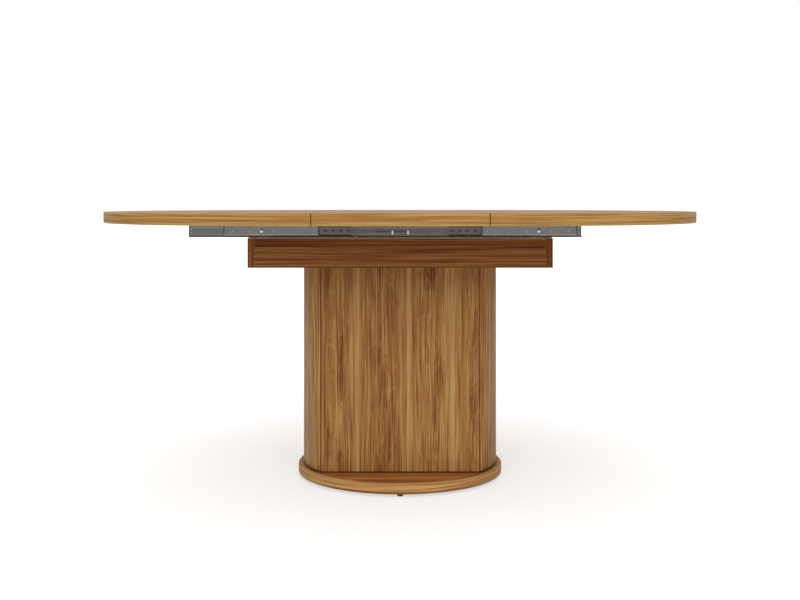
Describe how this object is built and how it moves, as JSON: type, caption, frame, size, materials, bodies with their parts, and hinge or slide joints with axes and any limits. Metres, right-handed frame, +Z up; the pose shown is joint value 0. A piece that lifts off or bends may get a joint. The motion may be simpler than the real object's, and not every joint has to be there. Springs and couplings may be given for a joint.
{
  "type": "extending dining table with a folding leaf",
  "caption": "Oval pedestal dining table, extended on ball-bearing slides, with a folding leaf that stows in a box under the top.",
  "frame": {"origin": "on the floor, at the centre of the base disc", "axes": "+X along the long way of the extended top, +Y from the front to the back, +Z up"},
  "size_m": [1.6648, 1.245, 0.75],
  "materials": {
    "wood_veneer": "satin",
    "wood_band": "satin",
    "plywood": "matte",
    "glide_plastic": "matte",
    "block_plastic": "matte",
    "zinc_steel": "satin",
    "slide_steel": "satin",
    "runner_steel": "satin",
    "cage_steel": "satin",
    "ball_steel": "polished",
    "angle_steel": "satin",
    "arm_steel": "satin",
    "hinge_brass": "satin"
  },
  "bodies": {
    "frame": {"base_disc": "wood_veneer", "pedestal_front_panel": "wood_veneer", "pedestal_back_panel": "wood_veneer", "pedestal_left_shell": "wood_veneer", "pedestal_right_shell": "wood_veneer", "box_front_board": "wood_veneer", "box_back_board": "wood_veneer", "box_left_end_board": "wood_veneer", "box_right_end_board": "wood_veneer", "base_edge_band": "wood_band", "pedestal_bottom_plate": "plywood", "pedestal_top_plate": "plywood", "box_floor": "plywood", "box_dowels": "plywood", "floor_glides": "glide_plastic", "pedestal_bolts": "zinc_steel", "floor_pivot_pins": "zinc_steel", "support_angle_front": "angle_steel", "support_angle_back": "angle_steel", "floor_pivot_brackets": "arm_steel", "fixed_rail_front": "slide_steel", "fixed_rail_back": "slide_steel", "fixed_rail_rivets": "zinc_steel", "cage_stop_studs": "zinc_steel", "frame_screws": "zinc_steel"},
    "half_left": {"half_top_left": "wood_veneer", "edge_band_left": "wood_band", "runner_front_left": "runner_steel", "runner_back_left": "runner_steel", "runner_screws_left": "zinc_steel", "runner_stop_blocks_left": "block_plastic"},
    "half_right": {"half_top_right": "wood_veneer", "edge_band_right": "wood_band", "runner_front_right": "runner_steel", "runner_back_right": "runner_steel", "runner_screws_right": "zinc_steel", "runner_stop_blocks_right": "block_plastic"},
    "channel_front": {"slide_channel_front": "slide_steel"},
    "rail_cage_front": {"fixed_rail_cage_front": "cage_steel"},
    "cage_front_left": {"runner_cage_front_left": "cage_steel", "runner_balls_front_left": "ball_steel"},
    "cage_front_right": {"runner_cage_front_right": "cage_steel", "runner_balls_front_right": "ball_steel"},
    "channel_back": {"slide_channel_back": "slide_steel"},
    "rail_cage_back": {"fixed_rail_cage_back": "cage_steel"},
    "cage_back_left": {"runner_cage_back_left": "cage_steel", "runner_balls_back_left": "ball_steel"},
    "cage_back_right": {"runner_cage_back_right": "cage_steel", "runner_balls_back_right": "ball_steel"},
    "arms_front": {"swing_arms_front": "arm_steel"},
    "arms_back": {"swing_arms_back": "arm_steel"},
    "leaf_back": {"leaf_back_panel": "wood_veneer", "leaf_back_edge_band": "wood_band", "leaf_hinge_barrels_back": "hinge_brass", "leaf_pivot_brackets": "arm_steel", "leaf_pivot_pins": "zinc_steel", "leaf_bracket_screws": "zinc_steel"},
    "leaf_front": {"leaf_front_panel": "wood_veneer", "leaf_front_edge_band": "wood_band", "leaf_hinge_barrels_front": "hinge_brass"}
  },
  "joints": [
    {"name": "half_left_release", "type": "slide", "parent": "frame", "child": "half_left", "axis": [-1, 0, 0], "range_m": [0, 0.025]},
    {"name": "half_right_release", "type": "slide", "parent": "frame", "child": "half_right", "axis": [1, 0, 0], "range_m": [0, 0.025]},
    {"name": "cage_front_left_travel", "type": "slide", "parent": "frame", "child": "cage_front_left", "axis": [-1, 0, 0], "range_m": [0, 0.0125]},
    {"name": "cage_front_right_travel", "type": "slide", "parent": "frame", "child": "cage_front_right", "axis": [1, 0, 0], "range_m": [0, 0.0125]},
    {"name": "cage_back_left_travel", "type": "slide", "parent": "frame", "child": "cage_back_left", "axis": [-1, 0, 0], "range_m": [0, 0.0125]},
    {"name": "cage_back_right_travel", "type": "slide", "parent": "frame", "child": "cage_back_right", "axis": [1, 0, 0], "range_m": [0, 0.0125]},
    {"name": "channel_front_float", "type": "slide", "parent": "frame", "child": "channel_front", "axis": [1, 0, 0], "range_m": [0, 0.078]},
    {"name": "rail_cage_front_travel", "type": "slide", "parent": "frame", "child": "rail_cage_front", "axis": [1, 0, 0], "range_m": [0, 0.039]},
    {"name": "channel_back_float", "type": "slide", "parent": "frame", "child": "channel_back", "axis": [1, 0, 0], "range_m": [0, 0.078]},
    {"name": "rail_cage_back_travel", "type": "slide", "parent": "frame", "child": "rail_cage_back", "axis": [1, 0, 0], "range_m": [0, 0.039]},
    {"name": "arms_front_swing", "type": "hinge", "parent": "frame", "child": "arms_front", "pos_m": [0, -0.05017, 0.627], "axis": [1, 0, 0], "range_deg": [0, 150.92]},
    {"name": "arms_back_swing", "type": "hinge", "parent": "frame", "child": "arms_back", "pos_m": [0, 0.14983, 0.627], "axis": [1, 0, 0], "range_deg": [0, 150.92]},
    {"name": "leaf_back_level", "type": "hinge", "parent": "arms_front", "child": "leaf_back", "pos_m": [0, 0.1, 0.7105], "axis": [1, 0, 0], "range_deg": [-150.92, 0]},
    {"name": "leaf_fold", "type": "hinge", "parent": "leaf_back", "child": "leaf_front", "pos_m": [0, 0, 0.7502], "axis": [1, 0, 0], "range_deg": [-180, 0]}
  ],
  "couplings": [
    {"joint": "half_right_release", "follows": "half_left_release", "ratio": 1},
    {"joint": "cage_front_left_travel", "follows": "half_left_release", "ratio": 0.5},
    {"joint": "cage_front_right_travel", "follows": "half_left_release", "ratio": 0.5},
    {"joint": "cage_back_left_travel", "follows": "half_left_release", "ratio": 0.5},
    {"joint": "cage_back_right_travel", "follows": "half_left_release", "ratio": 0.5},
    {"joint": "rail_cage_front_travel", "follows": "channel_front_float", "ratio": 0.5},
    {"joint": "rail_cage_back_travel", "follows": "channel_back_float", "ratio": 0.5},
    {"joint": "arms_back_swing", "follows": "arms_front_swing", "ratio": 1},
    {"joint": "leaf_back_level", "follows": "arms_front_swing", "ratio": -1},
    {"joint": "leaf_fold", "follows": "arms_front_swing", "ratio": -1.1926}
  ]
}
